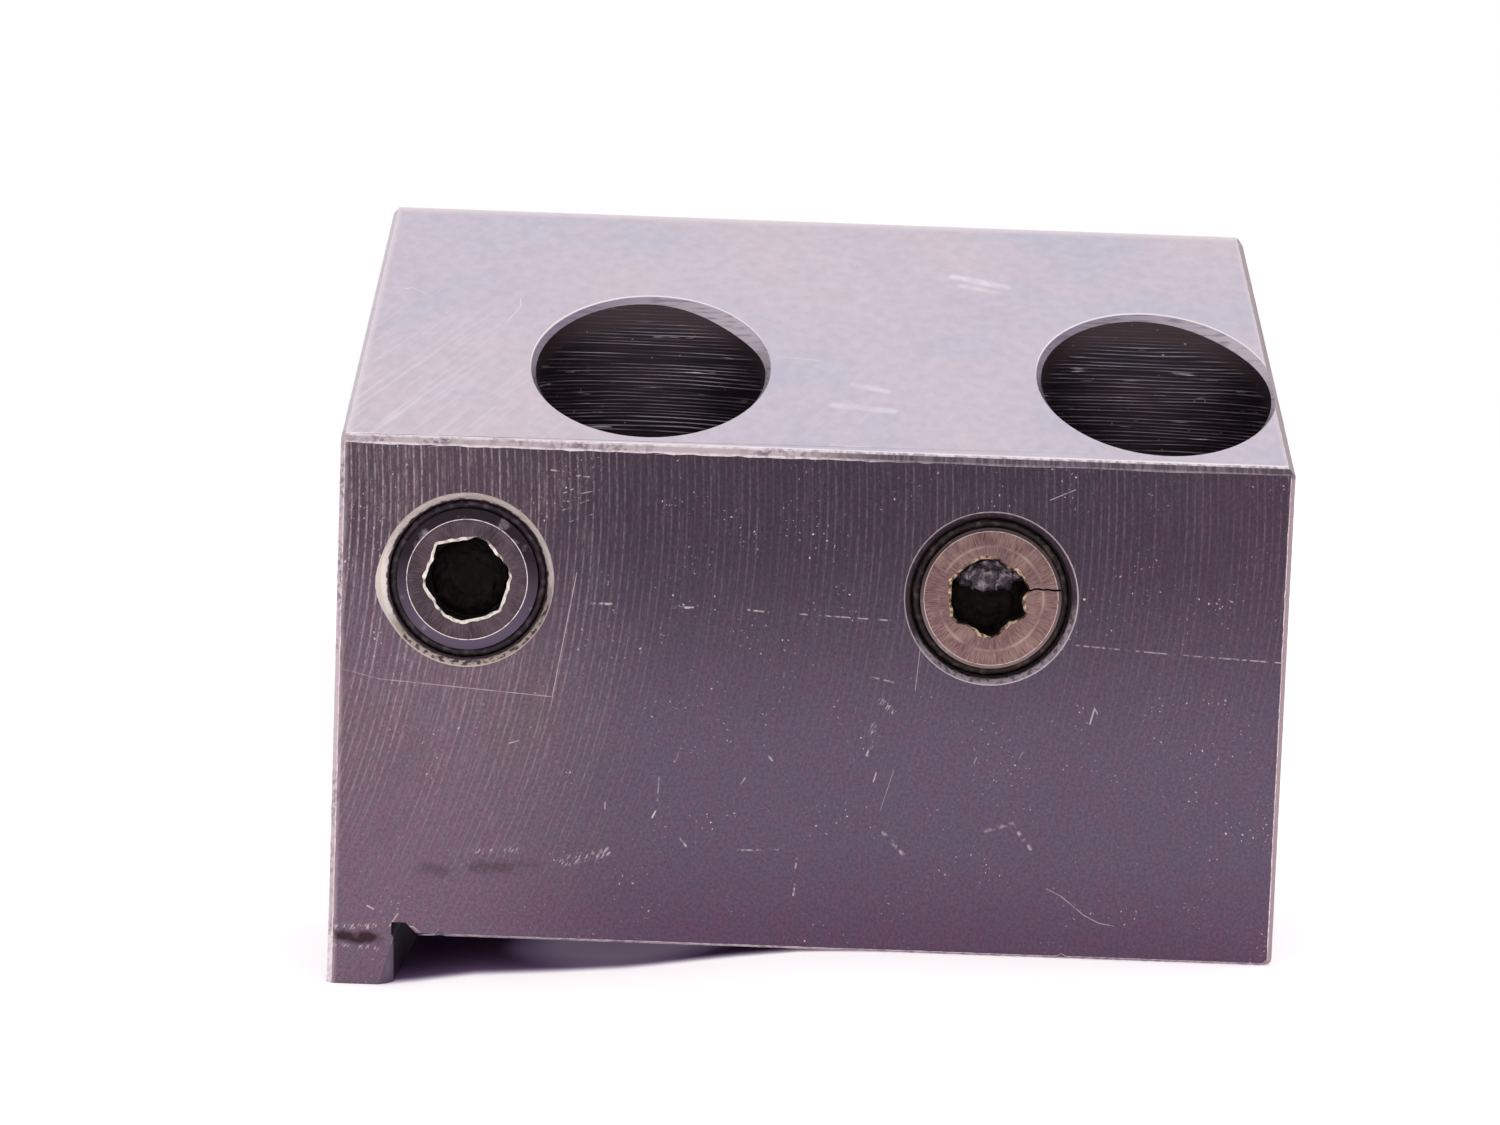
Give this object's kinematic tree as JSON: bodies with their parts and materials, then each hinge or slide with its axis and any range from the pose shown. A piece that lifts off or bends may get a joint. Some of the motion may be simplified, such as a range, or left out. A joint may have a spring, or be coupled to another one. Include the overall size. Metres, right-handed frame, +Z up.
{
  "type": "boring bar holder",
  "caption": "Steel block with upright through bores, a top sloping up to the back, a locating lip underneath and cotter clamps driven by socket head screws from the front.",
  "frame": {"origin": "under the middle of the block's bounding box, level with the foot of the lip", "axes": "+X to the right along the block's width, away from the lip's end; +Y from the front face with the screw heads to the back; +Z up along the bores"},
  "size_m": [0.12, 0.053, 0.0997],
  "materials": {
    "block_steel": "milled and blackened, worn bright along the edges",
    "left_screw_steel": "blackened alloy steel",
    "right_screw_steel": "blackening worn off, brownish turned face",
    "cotter_steel": "blackened, oily"
  },
  "bodies": {
    "block": {"block": "block_steel"},
    "left_front_cotter": {"left_front_cotter": "cotter_steel"},
    "left_screw": {"left_clamp_screw": "left_screw_steel"},
    "left_rear_cotter": {"left_rear_cotter": "cotter_steel"},
    "right_front_cotter": {"right_front_cotter": "cotter_steel"},
    "right_screw": {"right_clamp_screw": "right_screw_steel"},
    "right_rear_cotter": {"right_rear_cotter": "cotter_steel"}
  },
  "joints": [
    {"name": "left_front_cotter_slide", "type": "slide", "parent": "block", "child": "left_front_cotter", "axis": [0, 1, 0], "range_m": [0, 0.000875]},
    {"name": "left_screw_turn", "type": "hinge", "parent": "left_front_cotter", "child": "left_screw", "pos_m": [-0.0436, -0.0261, 0.052], "axis": [0, 1, 0], "range_deg": [0, 360]},
    {"name": "left_rear_cotter_slide", "type": "slide", "parent": "block", "child": "left_rear_cotter", "axis": [0, -1, 0], "range_m": [0, 0.000875]},
    {"name": "right_front_cotter_slide", "type": "slide", "parent": "block", "child": "right_front_cotter", "axis": [0, 1, 0], "range_m": [0, 0.000875]},
    {"name": "right_screw_turn", "type": "hinge", "parent": "right_front_cotter", "child": "right_screw", "pos_m": [0.0224, -0.0261, 0.052], "axis": [0, 1, 0], "range_deg": [0, 360]},
    {"name": "right_rear_cotter_slide", "type": "slide", "parent": "block", "child": "right_rear_cotter", "axis": [0, -1, 0], "range_m": [0, 0.000875]}
  ],
  "couplings": [
    {"joint": "left_screw_turn", "follows": "left_front_cotter_slide", "rad_per_m": 7180.8},
    {"joint": "left_rear_cotter_slide", "follows": "left_front_cotter_slide", "ratio": 1},
    {"joint": "right_screw_turn", "follows": "right_front_cotter_slide", "rad_per_m": 7180.8},
    {"joint": "right_rear_cotter_slide", "follows": "right_front_cotter_slide", "ratio": 1}
  ]
}
